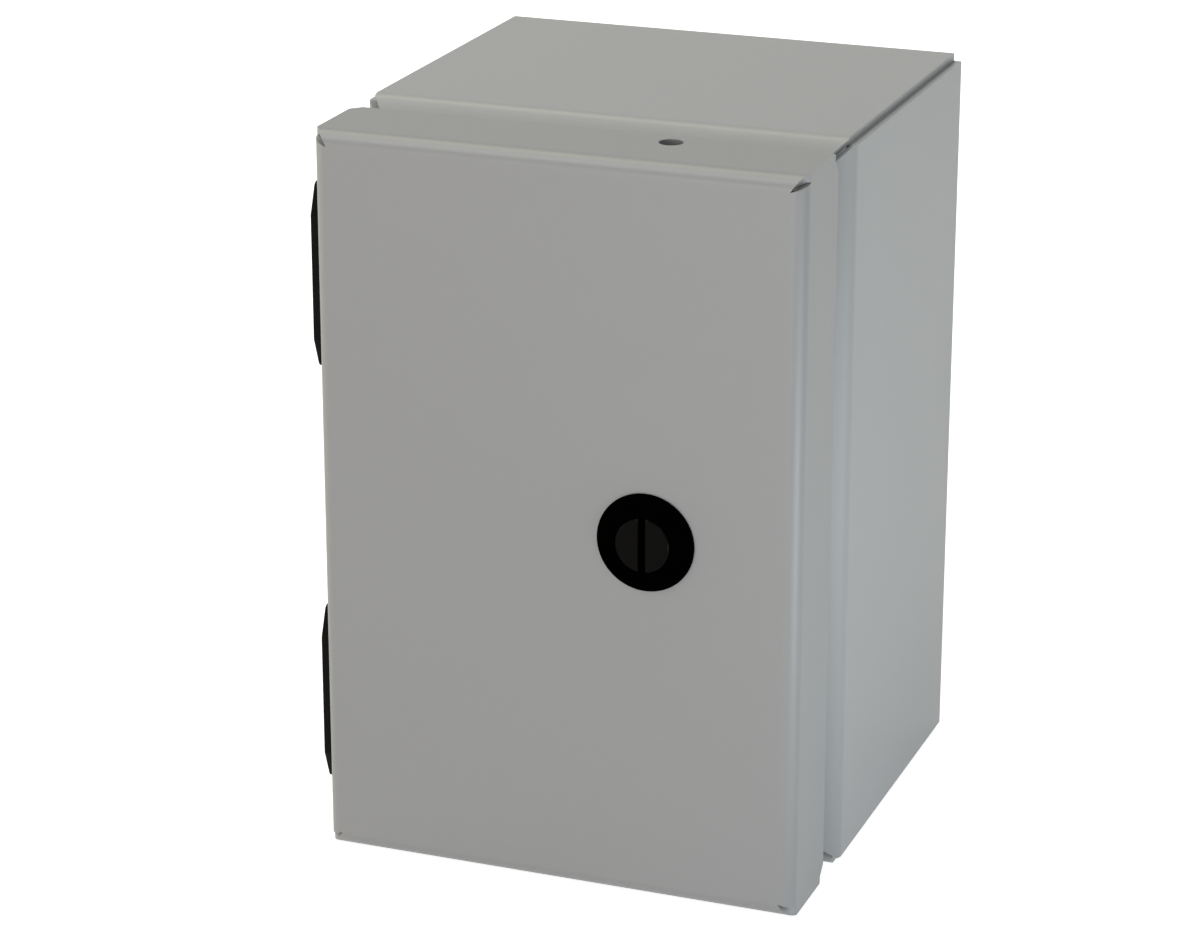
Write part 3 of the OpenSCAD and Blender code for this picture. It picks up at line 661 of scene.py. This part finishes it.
class ENCLOSURE_OT_fixings(bpy.types.Operator):
    """Makes the threaded weld studs and finishes their nuts"""
    bl_idname = "enclosure.fixings"
    bl_label = "Make the fixings"
    bl_options = {"REGISTER", "UNDO"}
    flange = 3.3 * MM

    def execute(self, context):
        settings = context.scene.enclosure
        zinc = zinc_plate("bright_zinc_plate_fixings")
        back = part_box("back_panel")[0][1]
        low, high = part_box("panel_studs")
        pitch = settings.stud_pitch
        centres = [(x, back, z) for x in (low[0] + self.flange, high[0] - self.flange)
                   for z in (low[2] + self.flange, high[2] - self.flange)]
        piece("threaded_panel_studs",
              [self.stud(back - low[1], centre, facing_room, pitch) for centre in centres],
              zinc, "enclosure", ["panel_studs"])
        for node, name, body, lay in (
                ("box_earth_stud", "threaded_box_earth_stud", "enclosure", facing_room),
                ("door_earth_stud", "threaded_door_earth_stud", "door", facing_wall)):
            low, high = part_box(node)
            foot = high[1] if lay is facing_room else low[1]
            centre = ((low[0] + high[0]) / 2, foot, (low[2] + high[2]) / 2)
            piece(name, [self.stud(high[1] - low[1], centre, lay, pitch)], zinc, body,
                  [node])
        for where in ("box", "door"):
            eased_copy(f"{where}_earth_nut", f"{where}_earth_hex_nut", zinc,
                       settings.nut_edge)
        return {"FINISHED"}

    def stud(self, length, place, lay, pitch):
        """A weld stud as one turned profile: a flange with an eased rim, then a shank whose
        radius loses the thread's depth, which fades in over 1.2 mm, and a chamfered end."""
        shank, thick, eased, chamfer = 2.5 * MM, 0.7 * MM, 0.15 * MM, 0.5 * MM
        depth, run_in, step, steps = 0.46 * MM, 1.2 * MM, 0.1 * MM, 40
        foot_radii = 0, self.flange, self.flange, self.flange - eased, shank
        foot_heights = 0, 0, thick - eased, thick, thick
        heights = np.concatenate([foot_heights, np.arange(thick + step, length, step),
                                  [length] * 2])
        base = np.full(len(heights), shank)
        base[:5] = foot_radii
        base[5:] = np.minimum(shank, shank - chamfer + (length - heights[5:]))
        base[-1] = 0
        angle = np.linspace(0, 2 * math.pi, steps, endpoint=False)[:, None]
        fade = np.clip((heights - thick) / run_in, 0, 1)
        fade[-1] = 0
        radii = base - thread_depth(angle, heights, pitch, depth) * fade
        return closed_surface(lay(revolve(radii, heights, steps), place))


# ---- Stage ----

# Camera: place in metres, turn and dip in degrees, lens and near limit, and the frame's shift
CAMERA_PLACE = (0.2483, -0.7340, 0.2543)
CAMERA_TURN = 20.83
CAMERA_DIP = 19.31
LENS = 111.65
CLIP_START = 0.01
SHIFT = (0.00526, -0.01229)
# Softboxes: name, direction from the object's middle, distance, width and height in metres,
# watts and colour
SOFTBOXES = (
    ("overhead_softbox", (-0.34, 0.12, 0.93), 1.8, (0.8, 0.8), 7.5, (1, 0.98, 0.76)),
    ("key_softbox", (-0.33, -0.5, 0.8), 1.8, (0.6, 0.6), 6.8, (0.97, 0.98, 1)),
    ("front_softbox", (0.03, -0.99, 0.06), 1.8, (1.2, 0.5), 9.9, (0.99, 0.96, 1)),
    ("left_softbox", (-0.93, -0.36, 0.05), 0.9, (0.5, 0.5), 1.5, (1, 0.8, 0.5)),
    ("corner_softbox", (0.61, -0.45, 0.62), 0.9, (0.05, 0.05), 0.35, (0.7, 0.86, 1)),
    ("low_side_softbox", (0.96, 0, -0.24), 0.26, (0.3, 0.06), 0.06, (0.8, 0.91, 1)),
    ("low_corner_softbox", (0.86, -0.46, -0.23), 0.27, (0.12, 0.05), 0.14, (0.82, 0.93, 1)),
)
FILL_COLOUR = (0.94, 0.97, 1)
# The white that the camera and reflections see, and how far from the object the floor's glow
# rises from its own level to that white
ROOM_WHITE = 1.0
FLOOR_GLOW = 0.85
FLOOR_REACH = (0.15, 0.6)
FLOOR_HALF = 3.0
CARD_WHITE = 0.8


def softbox(name, direction, distance, size, power, colour):
    """A rectangular lamp that stands off from the middle of the object in that direction and
    faces it."""
    low, high = (Vector(corner) for corner in CAD_BOX)
    lamp = bpy.data.lights.new(name, "AREA")
    lamp.shape = "RECTANGLE"
    lamp.size, lamp.size_y = size
    lamp.energy = power
    lamp.color = colour
    thing = bpy.data.objects.new(name, lamp)
    towards = Vector(direction).normalized()
    thing.location = (low + high) / 2 + distance * towards
    thing.rotation_euler = towards.to_track_quat("Z", "Y").to_euler()
    thing.visible_camera = False
    bpy.context.collection.objects.link(thing)


def seen_directly(owner):
    """A value that is 1 for camera, glossy and transmission rays and 0 for the others."""
    path = add_node(owner, "ShaderNodeLightPath")
    mirrored = add_node(owner, "ShaderNodeMath", {"operation": "MAXIMUM"})
    seen = add_node(owner, "ShaderNodeMath", {"operation": "MAXIMUM"})
    for node, socket, source, output in ((mirrored, 0, path, "Is Glossy Ray"),
                                         (mirrored, 1, path, "Is Transmission Ray"),
                                         (seen, 0, mirrored, "Value"),
                                         (seen, 1, path, "Is Camera Ray")):
        owner.node_tree.links.new(source.outputs[output], node.inputs[socket])
    return seen


class ENCLOSURE_OT_stage(bpy.types.Operator):
    """Sets up the camera, the lamps, the even light and the white floor"""
    bl_idname = "enclosure.stage"
    bl_label = "Set the stage"
    bl_options = {"REGISTER", "UNDO"}

    def execute(self, context):
        settings = context.scene.enclosure
        scene = context.scene
        camera = bpy.data.cameras.new("camera")
        camera.lens = LENS
        camera.shift_x, camera.shift_y = SHIFT
        camera.clip_start = CLIP_START
        thing = bpy.data.objects.new("camera", camera)
        thing.location = CAMERA_PLACE
        thing.rotation_euler = Euler((math.radians(90 - CAMERA_DIP), 0, math.radians(CAMERA_TURN)))
        scene.collection.objects.link(thing)
        scene.camera = thing
        scene.view_settings.view_transform = "Standard"
        for lamp in SOFTBOXES:
            softbox(*lamp)
        self.sky(settings.sky_level)
        self.floor()
        return {"FINISHED"}

    def sky(self, level):
        """An even light, which the camera and reflections see as a white room."""
        world = bpy.data.worlds.new("white_room")
        bpy.context.scene.world = world
        world.use_nodes = True
        world.node_tree.nodes.clear()
        seen = seen_directly(world)
        strength = add_node(world, "ShaderNodeMapRange", {"To Min": level, "To Max": ROOM_WHITE},
                            {"Value": (seen, "Value")})
        tint = add_node(world, "ShaderNodeMix", {"data_type": "RGBA"}, {"Factor": (seen, "Value")})
        tint.inputs[6].default_value = rgba(FILL_COLOUR)
        tint.inputs[7].default_value = (1, 1, 1, 1)
        back = add_node(world, "ShaderNodeBackground", None, {"Strength": (strength, "Result")})
        world.node_tree.links.new(tint.outputs[2], back.inputs["Color"])
        output = add_node(world, "ShaderNodeOutputWorld")
        world.node_tree.links.new(back.outputs[0], output.inputs["Surface"])

    def floor(self):
        """A floor that throws light back like white card. The camera and reflections see it as
        white, with a faint shadow near the object, where its own glow is a little lower."""
        low, _ = CAD_BOX
        mesh = bpy.data.meshes.new("floor")
        half = FLOOR_HALF
        corners = [(-half, -half, low[2]), (half, -half, low[2]), (half, half, low[2]),
                   (-half, half, low[2])]
        mesh.from_pydata(corners, [], [(0, 1, 2, 3)])
        floor = bpy.data.objects.new("floor", mesh)
        bpy.context.collection.objects.link(floor)
        material, output = new_material("white_floor")
        card = add_node(material, "ShaderNodeBsdfDiffuse", {"Color": rgba([CARD_WHITE] * 3)})
        place = add_node(material, "ShaderNodeTexCoord")
        reach = add_node(material, "ShaderNodeVectorMath", {"operation": "LENGTH"},
                         {"Vector": (place, "Object")})
        rise = add_node(material, "ShaderNodeMapRange",
                        {"From Min": FLOOR_REACH[0], "From Max": FLOOR_REACH[1],
                         "To Min": FLOOR_GLOW, "To Max": ROOM_WHITE},
                        {"Value": (reach, "Value")})
        strength = add_node(material, "ShaderNodeMath", {"operation": "MULTIPLY"})
        glow = add_node(material, "ShaderNodeEmission", {"Color": (1, 1, 1, 1)},
                        {"Strength": (strength, "Value")})
        lit = add_node(material, "ShaderNodeAddShader")
        for source, output_name, node, socket in (
                (rise, "Result", strength, 0), (seen_directly(material), "Value", strength, 1),
                (card, 0, lit, 0), (glow, 0, lit, 1)):
            material.node_tree.links.new(source.outputs[output_name], node.inputs[socket])
        finish_material(material, output, lit)
        mesh.materials.append(material)


class ENCLOSURE_PT_sidebar(bpy.types.Panel):
    """Lists the settings and the operators"""
    bl_idname = "ENCLOSURE_PT_sidebar"
    bl_label = "Steel wall enclosure"
    bl_space_type = "VIEW_3D"
    bl_region_type = "UI"
    bl_category = "Enclosure"

    def draw(self, context):
        for name in EnclosureSettings.__annotations__:
            self.layout.prop(context.scene.enclosure, name)
        for operator in OPERATORS:
            self.layout.operator(operator.bl_idname)


OPERATORS = (ENCLOSURE_OT_stage, ENCLOSURE_OT_sheets, ENCLOSURE_OT_welds, ENCLOSURE_OT_gasket,
             ENCLOSURE_OT_hinges, ENCLOSURE_OT_latch, ENCLOSURE_OT_fixings)


def register():
    for kind in (EnclosureSettings, *OPERATORS, ENCLOSURE_PT_sidebar):
        bpy.utils.register_class(kind)
    bpy.types.Scene.enclosure = PointerProperty(type=EnclosureSettings)


def unregister():
    del bpy.types.Scene.enclosure
    for kind in reversed((EnclosureSettings, *OPERATORS, ENCLOSURE_PT_sidebar)):
        bpy.utils.unregister_class(kind)


def main():
    register()
    for operator in OPERATORS:
        group, name = operator.bl_idname.split(".")
        getattr(getattr(bpy.ops, group), name)()


if __name__ == "__main__":
    main()
